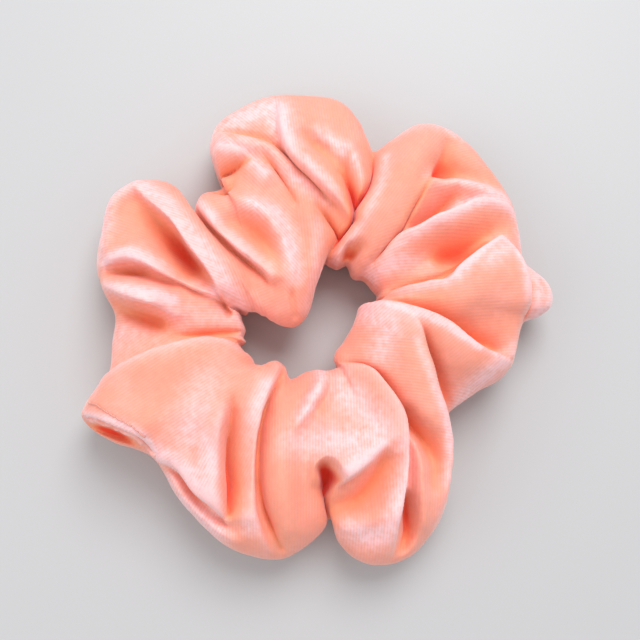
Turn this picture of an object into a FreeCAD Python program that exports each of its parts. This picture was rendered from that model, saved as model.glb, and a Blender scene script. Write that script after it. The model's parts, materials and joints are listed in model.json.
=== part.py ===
"""Gathered velvet scrunchie: a sewn tube of velvet drawn up over a loop of flat elastic.

Frame: millimetres, +Z up, origin on the table under the middle of the ring's opening.
The ring is cut at x = 0 into a held half (x < 0) and a pulled half (x > 0), because
the ring stretches along X: the pulled half slides away and the elastic draws it back.
Each half is drawn about its own +X, through 180 degrees, and then turned into place.
The turned-in edges of the cloth lie inside the tube: one flange along the long seam,
on the outer side, and one frame across the tube where its two ends are sewn together.
"""

import FreeCAD
import Part
import Sketcher
import math
import os

SIZES = (
    # alias, value in mm, degrees or pieces, meaning
    ("hole_radius", 14.0, "opening of the relaxed ring"),
    ("wall_start", 14.5, "inner side of the tube's own wall"),
    ("ridge_radius", 56.5, "outer edge of the ring on a pleat"),
    ("valley_radius", 52.5, "outer edge of the ring between two pleats"),
    ("ridge_height", 27.0, "top of a pleat above the table"),
    ("valley_height", 22.0, "top of the tube between two pleats"),
    ("pleats", 6, "pleats in each half"),
    ("pleat_pitch", 30.0, "angle from one pleat to the next"),
    ("pleat_angle", 15.0, "angle that one pleat takes up"),
    ("pleat_side", 2.0, "angle that a pleat's side wall takes up"),
    ("velvet", 1.2, "thickness of the velvet with its pile"),
    ("gather_depth", 3.5, "bunched cloth against the hair, measured outwards"),
    ("gather_low", 8.0, "lower edge of the bunched cloth"),
    ("gather_high", 16.0, "upper edge of the bunched cloth"),
    ("split_gap", 0.2, "gap between the two halves of the ring"),
    ("seam_height", 10.5, "height of the long seam"),
    ("allowance_radius", 47.0, "raw edges of the long seam"),
    ("cross_seam_angle", 60.0, "where the tube's two ends meet, from the held half's middle"),
    ("cross_allowance", 4.0, "turned-in cloth at the cross seam"),
    ("closing_middle", 30.0, "middle of the topstitched closing, from the held half's middle"),
    ("closing_angle", 24.0, "angle that the closing takes up"),
    ("lip_radius", 58.5, "pinched outer edge of the closing"),
    ("elastic_radius", 24.0, "middle of the relaxed elastic loop"),
    ("elastic_width", 6.0, "flat elastic, measured up"),
    ("elastic_thick", 1.0, "flat elastic, measured outwards"),
    ("elastic_low", 6.0, "lower edge of the elastic"),
    ("lap_half_angle", 17.0, "half of the sewn overlap of the elastic's two ends"),
    ("lap_step_angle", 6.0, "stretch where the outer end climbs over the inner end"),
    ("lap_gap", 0.05, "air between the two ends"),
    ("thread", 0.3, "diameter of the sewing thread"),
    ("seam_stitch", 3.0, "stitch length of the long seam and the cross seam"),
    ("closing_stitch", 2.0, "stitch length of the closing"),
    ("zigzag_stitch", 1.2, "advance of the zigzag on the elastic"),
    ("zigzag_half_width", 2.0, "half of the zigzag's width"),
)
HELD_TURN = 180.0  # turns a half from about +X to about -X
UP = FreeCAD.Vector(0, 0, 1)
THREAD_STAND = 0.6  # share of the thread's radius that its middle stands off the cloth
LEG_INSET = 0.2  # the two legs in one needle hole stand this far each side of its middle
SEAM_MARGIN = 1.0  # the long seam's thread stops this far from each end of a half, in mm
LIP_MARGIN = 1.0  # the topstitch stops this far from each end of the closing, in degrees
LAP_MARGIN = 3.0  # the zigzag stops this far from each end of the elastic's overlap, in degrees
INNER_END_GAP = 2.0  # the elastic's inner end stops this far before the outer end's step, in degrees
CORNER = 0.2  # radius where a stitch turns into its needle hole
KNOT_GAP = 0.05  # needle thread and bobbin thread stop this far from the middle of the layers

doc = FreeCAD.newDocument("scrunchie")
sheet = doc.addObject("Spreadsheet::Sheet", "sizes")
for row, (alias, value, meaning) in enumerate(SIZES, 1):
    sheet.set(f"A{row}", meaning)
    sheet.set(f"B{row}", str(value))
    sheet.setAlias(f"B{row}", alias)
doc.recompute()


def size(alias):
    """A driving dimension, as the sheet holds it."""
    return float(sheet.get(alias))


def polar(radius, angle, height):
    turn = math.radians(angle)
    return FreeCAD.Vector(radius * math.cos(turn), radius * math.sin(turn), height)


# ---- sketches: X is the distance from the ring's axis and Y is the height ----

def new_body(label, turn=0.0):
    body = doc.addObject("PartDesign::Body", label)
    body.Label = label
    body.Placement = FreeCAD.Placement(FreeCAD.Vector(), FreeCAD.Rotation(UP, turn))
    return body


def upright_sketch(body, name, angle="0"):
    """An empty sketch on the half plane through the ring's axis at this angle."""
    sketch = body.newObject("Sketcher::SketchObject", name)
    plane = next(o for o in body.Origin.OriginFeatures if o.Role == "XZ_Plane")
    sketch.AttachmentSupport = [(plane, "")]
    sketch.MapMode = "FlatFace"
    sketch.AttachmentOffset = FreeCAD.Placement(FreeCAD.Vector(), FreeCAD.Rotation(FreeCAD.Vector(0, 1, 0), 1))
    sketch.setExpression("AttachmentOffset.Rotation.Angle", angle)
    sketch.Visibility = False
    return sketch


def bind(sketch, name, kind, places, expression, value):
    """A named dimension that follows the sheet."""
    index = sketch.addConstraint(Sketcher.Constraint(kind, *places, value))
    sketch.renameConstraint(index, name)
    sketch.setExpression(f"Constraints.{name}", expression)


def rectangle(sketch, inner, outer, low, high):
    """A rectangle between two radii and two heights, each an expression."""
    first = sketch.GeometryCount
    corners = [FreeCAD.Vector(x, y, 0) for x, y in ((20, 5), (30, 5), (30, 10), (20, 10))]
    for here, there in zip(corners, corners[1:] + corners[:1]):
        sketch.addGeometry(Part.LineSegment(here, there))
    for line in range(4):
        sketch.addConstraint(Sketcher.Constraint("Coincident", first + line, 2, first + (line + 1) % 4, 1))
        sketch.addConstraint(Sketcher.Constraint("Vertical" if line % 2 else "Horizontal", first + line))
    bind(sketch, f"inner{first}", "DistanceX", (-1, 1, first, 1), inner, 20)
    bind(sketch, f"outer{first}", "DistanceX", (-1, 1, first + 1, 1), outer, 30)
    bind(sketch, f"low{first}", "DistanceY", (-1, 1, first, 1), low, 5)
    bind(sketch, f"high{first}", "DistanceY", (-1, 1, first + 2, 1), high, 10)


def slot(sketch, fold, inset):
    """A section of the tube: flat below and above, round at both ends. fold is ridge or valley."""
    first = sketch.GeometryCount
    inner = f"(sizes.wall_start + {inset})"
    outer = f"(sizes.{fold}_radius - {inset})"
    radius = f"(sizes.{fold}_height / 2 - {inset})"
    depth = FreeCAD.Vector(0, 0, 1)
    left, right = FreeCAD.Vector(30, 10, 0), FreeCAD.Vector(40, 10, 0)
    down, up = FreeCAD.Vector(0, -8, 0), FreeCAD.Vector(0, 8, 0)
    sketch.addGeometry(Part.LineSegment(left + down, right + down))
    sketch.addGeometry(Part.ArcOfCircle(Part.Circle(right, depth, 8), -math.pi / 2, math.pi / 2))
    sketch.addGeometry(Part.LineSegment(right + up, left + up))
    sketch.addGeometry(Part.ArcOfCircle(Part.Circle(left, depth, 8), math.pi / 2, 3 * math.pi / 2))
    for line in range(4):
        sketch.addConstraint(Sketcher.Constraint("Tangent", first + line, 2, first + (line + 1) % 4, 1))
    for line in (first, first + 2):
        sketch.addConstraint(Sketcher.Constraint("Horizontal", line))
    bind(sketch, f"radius{first}", "Radius", (first + 1,), radius, 8)
    bind(sketch, f"left{first}", "DistanceX", (-1, 1, first + 3, 3), f"{inner} + {radius}", 30)
    bind(sketch, f"right{first}", "DistanceX", (-1, 1, first + 1, 3), f"{outer} - {radius}", 40)
    bind(sketch, f"height{first}", "DistanceY", (-1, 1, first + 1, 3), f"sizes.{fold}_height / 2", 10)


# ---- the velvet cover ----

def turned(body, kind, sketch, angle):
    """A Revolution or Groove of the sketch about the ring's axis, half of it each side of the sketch."""
    made = body.newObject(f"PartDesign::{kind}", f"{sketch.Name}_turned")
    made.Profile = sketch
    made.ReferenceAxis = (sketch, ["V_Axis"])
    made.Midplane = True
    made.setExpression("Angle", angle)
    return made


def repeated(body, original):
    """The first pleat's feature, repeated at every pleat of the half."""
    axis = next(o for o in body.Origin.OriginFeatures if o.Role == "Z_Axis")
    pattern = body.newObject("PartDesign::PolarPattern", f"{original.Name}_repeated")
    pattern.Originals = [original]
    pattern.Axis = (axis, [""])
    pattern.setExpression("Angle", "sizes.pleat_pitch * (sizes.pleats - 1)")
    pattern.setExpression("Occurrences", "sizes.pleats")
    body.Tip = pattern
    return pattern


def cover_half(name, turn):
    """Half of the cover: a hollow tube with hollow pleats, and the long seam's turned-in edges."""
    body = new_body(f"velvet_cover_{name}_half", turn)
    half_turn = "180 - sizes.split_gap / sizes.hole_radius * 180 / pi"
    first_pleat = "-sizes.pleat_pitch * (sizes.pleats - 1) / 2"
    pleat_hollow = "sizes.pleat_angle - 2 * sizes.pleat_side"
    seam = ("sizes.seam_height - sizes.velvet", "sizes.seam_height + sizes.velvet")

    def slot_sketch(part, angle, fold, inset):
        sketch = upright_sketch(body, f"{name}_{part}", angle)
        slot(sketch, fold, inset)
        return sketch

    def flange_sketch(part, angle, outer):
        sketch = upright_sketch(body, f"{name}_{part}", angle)
        rectangle(sketch, "sizes.allowance_radius", outer, *seam)
        return sketch

    turned(body, "Revolution", slot_sketch("tube", "0", "valley", "0"), half_turn)
    repeated(body, turned(body, "Revolution", slot_sketch("pleat", first_pleat, "ridge", "0"), "sizes.pleat_angle"))
    repeated(body, turned(body, "Groove", slot_sketch("pleat_inside", first_pleat, "ridge", "sizes.velvet"),
                          pleat_hollow))
    turned(body, "Groove", slot_sketch("tube_inside", "0", "valley", "sizes.velvet"), "180")
    turned(body, "Revolution", flange_sketch("flange", "0", "sizes.valley_radius - sizes.velvet / 2"), half_turn)
    repeated(body, turned(body, "Revolution", flange_sketch("pleat_flange", first_pleat,
                                                            "sizes.ridge_radius - sizes.velvet / 2"),
                          "sizes.pleat_angle - sizes.pleat_side"))
    bunched = upright_sketch(body, f"{name}_bunched_cloth")
    rectangle(bunched, "sizes.hole_radius", "sizes.hole_radius + sizes.gather_depth",
              "sizes.gather_low", "sizes.gather_high")
    body.Tip = turned(body, "Revolution", bunched, half_turn)
    return body


def add_closing_lip(body):
    """The topstitched closing of the long seam: both folded edges pinched into a flat lip."""
    lip = upright_sketch(body, "closing_lip", "sizes.closing_middle")
    rectangle(lip, "sizes.valley_radius - sizes.velvet", "sizes.lip_radius",
              "sizes.seam_height - sizes.velvet", "sizes.seam_height + sizes.velvet")
    body.Tip = turned(body, "Revolution", lip, "sizes.closing_angle")


def add_cross_seam_frame(body):
    """The turned-in ends of the tube, with the way through for the elastic left open."""
    frame = upright_sketch(body, "cross_seam_frame", "sizes.cross_seam_angle")
    slot(frame, "valley", "sizes.velvet / 2")
    slot(frame, "valley", "(sizes.velvet + sizes.cross_allowance)")
    pad = body.newObject("PartDesign::Pad", "cross_seam_allowance")
    pad.Profile = frame
    pad.Midplane = True
    pad.setExpression("Length", "2 * sizes.velvet")
    body.Tip = pad


# ---- the elastic ----

def elastic_half_turn():
    """The pulled half of the loop."""
    body = new_body("elastic_pulled_half")
    sketch = upright_sketch(body, "elastic_section")
    rectangle(sketch, "sizes.elastic_radius - sizes.elastic_thick / 2",
              "sizes.elastic_radius + sizes.elastic_thick / 2",
              "sizes.elastic_low", "sizes.elastic_low + sizes.elastic_width")
    body.Tip = turned(body, "Revolution", sketch, "180 - sizes.split_gap / sizes.elastic_radius * 180 / pi")
    return body


def lap_radius():
    """Middle of the elastic's outer end where it lies over the inner end."""
    return size("elastic_radius") + size("elastic_thick") + size("lap_gap")


def elastic_arc(start, end, middle):
    """A length of the flat elastic round Z, seen from above."""
    half, low = size("elastic_thick") / 2, size("elastic_low")
    edges = [Part.Arc(*[polar(radius, a, low) for a in (start, (start + end) / 2, end)]).toShape()
             for radius in (middle - half, middle + half)]
    edges += [Part.makeLine(polar(middle - half, a, low), polar(middle + half, a, low)) for a in (start, end)]
    return Part.Face(Part.Wire(Part.__sortEdges__(edges)))


def elastic_step(start, end):
    """The stretch where the outer end climbs by one thickness, seen from above."""
    half, low = size("elastic_thick") / 2, size("elastic_low")
    inner, outer = size("elastic_radius"), lap_radius()
    corners = [polar(inner - half, start, low), polar(inner + half, start, low),
               polar(outer + half, end, low), polar(outer - half, end, low)]
    return Part.Face(Part.makePolygon(corners + corners[:1]))


def elastic_held_half():
    """Both ends of the strip, overlapped in the middle of the held half."""
    rise = UP * size("elastic_width")
    trim = math.degrees(size("split_gap") / 2 / size("elastic_radius"))
    lap_low, lap_high = HELD_TURN - size("lap_half_angle"), HELD_TURN + size("lap_half_angle")
    step_low = lap_high + INNER_END_GAP
    step_high = step_low + size("lap_step_angle")
    inner_end = elastic_arc(90 + trim, lap_high, size("elastic_radius")).extrude(rise)
    run = elastic_arc(step_high, 270 - trim, size("elastic_radius")).extrude(rise)
    step = elastic_step(step_high, step_low).extrude(rise)
    lap = elastic_arc(lap_low, step_low, lap_radius()).extrude(rise)
    outer_end = run.fuse([step, lap]).removeSplitter()
    return feature("elastic_held_half", Part.makeCompound([inner_end, outer_end]))


# ---- the sewing threads ----

def feature(label, shape):
    """A sub-part whose shape is worked out in this file from the sheet's sizes."""
    made = doc.addObject("Part::Feature", label)
    made.Label = label
    made.Shape = shape
    return made


def stitch(start, end, normal, rise):
    """One stitch: a run on the cloth with a leg down at each end."""
    along = (end - start).normalize()
    near = corner(start + normal * rise, along, normal)
    far = corner(end + normal * rise, along * -1, normal)[::-1]
    foot = start + normal * KNOT_GAP
    path = Part.Wire([Part.makeLine(foot, near[0]), Part.Arc(*near).toShape(), Part.makeLine(near[2], far[0]),
                      Part.Arc(*far).toShape(), Part.makeLine(far[2], end + normal * KNOT_GAP)])
    outline = Part.Wire(Part.makeCircle(size("thread") / 2, foot, normal))
    return path.makePipeShell([outline], True, False)


def corner(tip, along, normal):
    """Three points of the arc that turns a leg into the run."""
    bulge = CORNER * (1 - math.sqrt(0.5))
    return [tip - normal * CORNER, tip - normal * bulge + along * bulge, tip + along * CORNER]


def stitches(holes, normals, rise):
    """A row of stitches through a list of needle holes; each hole has its own normal."""
    insets = [(there - here).normalize() * LEG_INSET for here, there in zip(holes, holes[2:])]
    insets = [insets[0] * 2 - insets[1]] + insets + [insets[-1] * 2 - insets[-2]]
    legs = zip(holes, insets, holes[1:], insets[1:], normals, normals[1:])
    return Part.makeCompound([stitch(hole + inset, next_hole - next_inset, (a + b).normalize(), rise)
                              for hole, inset, next_hole, next_inset, a, b in legs])


def thread_pair(name, suffix, holes, normals, layer):
    """The needle thread on one face of the seam and the bobbin thread on the other."""
    rise = layer + size("thread") / 2 * THREAD_STAND
    backs = [normal * -1 for normal in normals]
    return [feature(f"{name}_needle_thread{suffix}", stitches(holes, normals, rise)),
            feature(f"{name}_bobbin_thread{suffix}", stitches(holes, backs, rise))]


def wall_radius(angle):
    """Outer wall of the tube at this angle from the middle of a half."""
    pitch = size("pleat_pitch")
    from_pleat = abs((angle + 90) % pitch - pitch / 2)
    fold = "ridge" if from_pleat < size("pleat_angle") / 2 else "valley"
    return size(f"{fold}_radius")


def long_seam(suffix, turn):
    """The seam along the tube, just inside its outer wall."""
    start = -90 + math.degrees(SEAM_MARGIN / size("valley_radius"))
    reach = -2 * start
    count = round(math.radians(reach) * size("valley_radius") / size("seam_stitch"))
    angles = [start + reach * index / count for index in range(count + 1)]
    holes = [polar(wall_radius(a) - 2 * size("velvet"), a + turn, size("seam_height")) for a in angles]
    return thread_pair("long_seam", suffix, holes, [UP] * len(holes), size("velvet"))


def closing_seam():
    """The topstitch along the lip."""
    radius = size("lip_radius") - size("velvet")
    reach = size("closing_angle") - 2 * LIP_MARGIN
    start = HELD_TURN + size("closing_middle") - reach / 2
    count = round(math.radians(reach) * radius / size("closing_stitch"))
    holes = [polar(radius, start + reach * index / count, size("seam_height")) for index in range(count + 1)]
    return thread_pair("closing_seam", "", holes, [UP] * len(holes), size("velvet"))


def around_slot(share, inset):
    """Distance from the axis and height of a point this share of the way round a valley section."""
    radius = size("valley_height") / 2 - inset
    left = size("wall_start") + inset + radius
    right = size("valley_radius") - inset - radius
    middle = size("valley_height") / 2
    straight, bend = right - left, math.pi * radius
    distance = share * 2 * (straight + bend)
    if distance < straight:
        return left + distance, middle - radius
    if distance < straight + bend:
        turn = (distance - straight) / radius - math.pi / 2
        return right + radius * math.cos(turn), middle + radius * math.sin(turn)
    if distance < 2 * straight + bend:
        return right - (distance - straight - bend), middle + radius
    turn = (distance - 2 * straight - bend) / radius + math.pi / 2
    return left + radius * math.cos(turn), middle + radius * math.sin(turn)


def cross_seam():
    """The seam round the tube where its two ends are sewn together."""
    angle = HELD_TURN + size("cross_seam_angle")
    inset = 2 * size("velvet")
    around = 2 * (size("valley_radius") - size("wall_start") - size("valley_height"))
    around += math.pi * (size("valley_height") - 2 * inset)
    count = round(around / size("seam_stitch"))
    holes = [polar(radius, angle, height)
             for radius, height in (around_slot(index / count, inset) for index in range(count + 1))]
    along = polar(1, angle + 90, 0)
    return thread_pair("cross_seam", "", holes, [along] * len(holes), size("velvet"))


def elastic_join():
    """The zigzag that sews the elastic's two ends together."""
    middle = (size("elastic_radius") + lap_radius()) / 2
    height = size("elastic_low") + size("elastic_width") / 2
    reach = size("lap_half_angle") - LAP_MARGIN
    count = round(2 * math.radians(reach) * middle / size("zigzag_stitch"))
    holes, normals = [], []
    for index in range(count + 1):
        angle = HELD_TURN - reach + 2 * reach * index / count
        swing = size("zigzag_half_width") * (-1) ** index
        holes.append(polar(middle, angle, height + swing))
        normals.append(polar(1, angle, 0))
    return thread_pair("elastic_join", "", holes, normals, size("elastic_thick") + size("lap_gap") / 2)


# ---- assembly ----

def build():
    held = cover_half("held", HELD_TURN)
    add_closing_lip(held)
    add_cross_seam_frame(held)
    sub_parts = [held, cover_half("pulled", 0.0), elastic_held_half(), elastic_half_turn()]
    sub_parts += elastic_join()
    sub_parts += long_seam("_held_half", HELD_TURN)
    sub_parts += long_seam("_pulled_half", 0.0)
    sub_parts += cross_seam()
    sub_parts += closing_seam()
    return sub_parts


def check(sub_parts):
    """Stops if anything in the document failed or any sub-part is not a sound solid."""
    for made in doc.Objects:
        if "Invalid" in made.State or "Error" in made.State:
            raise RuntimeError(f"{made.Label} did not recompute: {made.State}")
    for made in sub_parts:
        if made.Shape.isNull() or not made.Shape.isValid() or not made.Shape.Solids:
            raise RuntimeError(f"{made.Label} has no valid solid")


def main():
    sub_parts = build()
    doc.recompute()
    check(sub_parts)
    os.makedirs("parts", exist_ok=True)
    for made in sub_parts:
        box = made.Shape.BoundBox
        print(f"{made.Label}: {len(made.Shape.Solids)} solids, {made.Shape.Volume:.1f} mm3, "
              f"{box.XLength:.2f} x {box.YLength:.2f} x {box.ZLength:.2f}, z from {box.ZMin:.2f}")
        made.Shape.exportStep(f"parts/{made.Label}.step")


main()
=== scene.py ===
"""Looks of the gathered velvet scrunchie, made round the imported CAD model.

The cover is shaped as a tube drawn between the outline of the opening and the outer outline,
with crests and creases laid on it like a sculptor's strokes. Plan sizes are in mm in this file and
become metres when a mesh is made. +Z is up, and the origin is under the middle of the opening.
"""

import json
import math

import bpy
import numpy as np
from mathutils import Matrix, Vector, noise


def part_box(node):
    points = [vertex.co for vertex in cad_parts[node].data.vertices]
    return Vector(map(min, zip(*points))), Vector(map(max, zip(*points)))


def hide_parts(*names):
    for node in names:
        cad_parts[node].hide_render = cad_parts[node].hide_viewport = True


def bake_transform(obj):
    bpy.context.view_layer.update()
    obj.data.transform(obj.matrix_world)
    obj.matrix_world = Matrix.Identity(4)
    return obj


MM = 0.001
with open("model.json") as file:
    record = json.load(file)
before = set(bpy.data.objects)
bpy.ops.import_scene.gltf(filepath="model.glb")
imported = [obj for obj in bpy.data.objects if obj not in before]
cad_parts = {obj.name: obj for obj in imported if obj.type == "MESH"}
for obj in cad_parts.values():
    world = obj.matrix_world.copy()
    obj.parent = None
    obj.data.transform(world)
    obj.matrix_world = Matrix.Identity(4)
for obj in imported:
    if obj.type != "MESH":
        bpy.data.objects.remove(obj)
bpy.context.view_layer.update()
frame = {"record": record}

# ---- driving dimensions, in mm, from the CAD model where it has them ----

sizes = {mount["name"]: mount["dims"] for mount in frame["record"]["mounts"]}
OPENING = sizes["hair_grip"]["r_mm"]
elastic_low, elastic_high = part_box("elastic_pulled_half")
ELASTIC_RADIUS = elastic_high.x / MM - 0.5
ELASTIC_LOW, ELASTIC_HIGH = elastic_low.z / MM, elastic_high.z / MM

CROWN = 21.0  # top of the puffed tube where no stroke touches it
LOWEST_TOP, HIGHEST_TOP = 12.5, 29.0  # soft limits of what the strokes do
OPENING_LIP = 12.5  # height where the cloth turns down into the opening
EDGE = 9.5  # height of the outer outline, where the cloth turns under
PINCH = 0.12  # how far a crease's sides close over it, for each mm of its depth
LEAN = 0.38  # how far a one-sided crest leans over its steep side, for each mm of its height
SET_BACK = 0.4  # a leaning crest's line is its visible edge, so it starts this share of its lean behind it
GATHER_HEIGHT, GATHER_REACH = 0.30, 8  # small gathers at the opening
GATHERED = ((-14.5, -4, 6), (8, 11, 3), (-10, -11, 3))  # where they are: (x, y, spread)
CRUSH_HEIGHT = 0.35  # unevenness of the crushed pile
CLOTH = 0.9  # thickness of the velvet
ALLOWANCE, CROSS_ALLOWANCE = 5.0, 3.0  # turned-in cloth at the long seam and at the cross seam
REST = 0.25  # height of the cloth's lowest point
ELASTIC_CLEAR = 2.4  # the cloth stays this far above the elastic
THREAD = 0.3  # diameter of the sewing thread
STITCH, TOP_STITCH, ZIGZAG_STITCH = 3.0, 2.0, 1.2  # stitch lengths
ZIGZAG_HALF = 2.0  # half the zigzag's width
BAND_HALF, LAP_STEP = 0.46, 0.55  # half the elastic's thickness, and half the step between its lapped ends
LAP_DEGREES = 34  # overlap of the elastic's two ends
RIB_PITCH = 0.65 * MM  # pitch of the knitted ribs
# Which way the ribs run in each fold, in degrees: (where the fold starts round the ring, direction).
RIBS = ((0, 5), (31, 20), (48, 52), (65, 96), (96, 135), (118, 20), (136, 113), (149, 160), (168, 3),
        (192, 33), (232, 62), (248, 90), (313, 172), (340, 40), (354, 5))
ROUND, TOP_ROWS = 702, 98  # mesh rows round the ring and over the top
WALL_STEPS = (3, 4, 6, 4, 3, 3)  # mesh rows between the places that shape the underside
INNER_STEP = 3  # the cloth's inner face has one point for so many of the outer face
CELL, CELLS = 0.5, 3  # the plan map of the lowest cloth: a cell's size, and how many cells away it looks
SEAM_ROW = TOP_ROWS + 1  # row of the long seam, just under the outer outline
CROSS_ANGLE = 229  # where the tube's two ends meet, in degrees

FACE_COLOUR, PALE_AND_HIGHLIGHT_COLOUR = (0.91, 0.335, 0.24), (0.98, 0.58, 0.59)  # resting pile, and the paler pile: random pale patches, painted highlights on crests and painted sheen
HOLLOW_SHADE_COLOUR, CREASE_SHADE_COLOUR = (0.91, 0.325, 0.175), (0.86, 0.08, 0.035)  # painted shade in hollows, and the deeper red painted shade at the bottom of a crease
FLOOR_COLOUR, FLOOR_HALF = (0.50, 0.50, 0.505), 4  # half its width is in metres
KEY, FILL, SKY = 5.5, 1.5, 0.72  # the two lights in watts, and the sky

# The closing: its pinched edge, which way that stands and how far, and the line of its topstitch.
LIP = ((-49, -24), (-46.7, -24.2), (-43.2, -25.1), (-40.1, -26.4), (-36.9, -28), (-34.8, -30.1), (-33, -32.6))
LIP_AWAY, LIP_DEPTH = (-0.40, -0.80, -0.35), 0.9
TOPSTITCH = ((-48.1, -20.8), (-45.6, -21.5), (-43.1, -23.1), (-40.3, -24.6), (-37.4, -26.3), (-34.8, -28.6))

# Painted sheen: where the pile is painted pale as if it caught the light. Each stroke's width, then its points
# (x, y, how strongly).
PAINTED_SHEEN = (
    # the lobe at the top
    (3.5, (-20, 44, 0.8), (-13, 47.5, 0.9), (-8, 49, 0.9), (-6.5, 44, 0.9), (-4.5, 39, 0.8)),
    (2.5, (-22, 44, 0.9), (-24, 39, 0.9), (-23, 33, 0.8)),
    (2.2, (-20.5, 40, 0.9), (-17, 38.2, 0.9), (-13.5, 36, 0.9), (-10, 32.4, 0.7)),
    (2.4, (-15, 40.5, 0.6), (-9, 37.5, 0.6), (-5, 33, 0.7), (0, 30, 0.7), (4, 26, 0.5)),
    (1.3, (-1.5, 35, 0.7), (3, 31, 0.8), (7.5, 26.5, 0.8)),
    (2, (3, 41.5, 0.6), (8, 38, 0.8)),
    (1.2, (10.5, 36, 0.7), (12, 31, 0.8), (12.6, 26, 0.8)),
    (1.6, (-26, 26, 0.8), (-20, 19.5, 0.8), (-14, 14, 0.8), (-9, 10, 1)),
    (2.2, (-13, 24.4, 0.8), (-8, 22.4, 1), (-5, 18, 0.9), (-3.4, 12, 0.9), (-2.6, 8, 0.6)),
    (1.6, (2.5, 20, 0.4), (2, 8, 0.5), (0, 1, 0.4)),
    # upper left
    (2.2, (-40, 31, 0.8), (-35, 27.5, 0.9), (-29, 21.5, 0.8), (-22.5, 12.5, 0.8), (-18, 6, 0.8),
     (-15, 1, 0.7)),
    (2.4, (-40, 31, 0.8), (-45.5, 27, 0.8), (-47, 20, 0.8), (-48, 13, 0.7)),
    (1.6, (-46, 11.6, 0.9), (-40.5, 12.6, 0.9), (-34, 10.6, 0.8), (-27.5, 7.6, 0.7), (-21, 4.4, 0.8)),
    (1.5, (-46, 6, 0.5), (-39, 4, 0.8), (-34, 2.9, 1), (-30, 2.2, 1)),
    (5, (-44, -6, 0.6), (-28, -4, 0.6), (-15, -2, 0.6)),
    # lower left
    (4.5, (-22, -16, 0.4), (-24, -22, 0.5), (-26, -28, 0.6)),
    (2.4, (-32, -32, 0.9), (-27.5, -34.5, 1), (-23, -39, 1), (-19.5, -44, 1)),
    (2.2, (-22.5, -28, 0.6), (-21.5, -36, 0.9)),
    (2.6, (-31, -38, 0.8), (-26, -44, 1), (-19, -49.5, 0.8)),
    (1, (-49, -23.6, 0.7), (-42, -25, 0.8), (-36, -27.8, 1), (-33, -31.5, 1)),
    # bottom
    (2, (-9, -17, 0.6), (-13, -27, 0.6), (-14, -38, 0.7), (-12.5, -48, 0.6)),
    (1.7, (3.4, -13, 1), (3.2, -16.5, 1), (1, -20, 1), (-1.2, -24, 0.8)),
    (4, (7, -17, 0.7), (12, -22, 0.7), (16, -27, 0.7), (10, -29, 0.8), (2, -29, 0.7), (-3, -29, 0.5)),
    (1.8, (5.6, -37.5, 1), (9, -35, 1), (13, -32, 1), (17, -29, 0.9)),
    (2.6, (9, -48, 0.7), (15, -50, 0.9), (18.6, -46, 0.8), (20.3, -38, 0.7), (21, -30, 0.6)),
    # lower right and right
    (3, (14, 0, 0.8), (18, -4, 0.7), (16, -10, 0.6)),
    (1.1, (24, -7, 0.8), (28, -17, 0.8), (31.5, -27, 0.8), (31, -38, 0.6)),
    (1, (18, 1, 0.7), (28, -2.6, 0.8), (38, -8.4, 0.8)),
    (2.5, (45, -11, 0.7), (40, -15, 0.8), (34, -21, 0.6)),
    (1.5, (22, 4.4, 0.5), (32, 7, 0.7), (38, 12.8, 0.9), (44.5, 17.6, 1), (48.5, 12, 0.9), (50, 4, 0.8)),
    (2.2, (40, 11, 0.6), (44, 14, 0.7)),
    (2.2, (53, 0, 0.9), (57.5, 3, 1), (57, 9, 1), (52, 12, 1)),
    (3, (53.5, 2, 1), (54.5, 7, 1), (54, 11, 1)),
    (2, (43, -9, 0.6), (48, -8, 0.6)),
    # upper right
    (2, (28.4, 30.6, 0.8), (34, 31, 1), (41, 30, 1), (47, 27.5, 0.9)),
    (1.9, (17, 12.5, 0.6), (23, 17, 0.7), (30, 20.8, 0.8), (36, 24.5, 1), (43, 26.6, 1), (49, 24.6, 0.9)),
    (2.6, (15.5, 10, 0.9), (20, 11.5, 0.9), (27, 11.5, 0.7)),
    (1.4, (7, 13.5, 0.8), (12, 20, 0.8), (16, 28, 0.9), (18, 36, 0.7)),
    (2.4, (21, 44, 0.6), (29, 47, 0.7), (37, 44, 0.6)),
    (2, (51, 24, 0.8), (52, 16, 0.8)),
)

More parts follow.
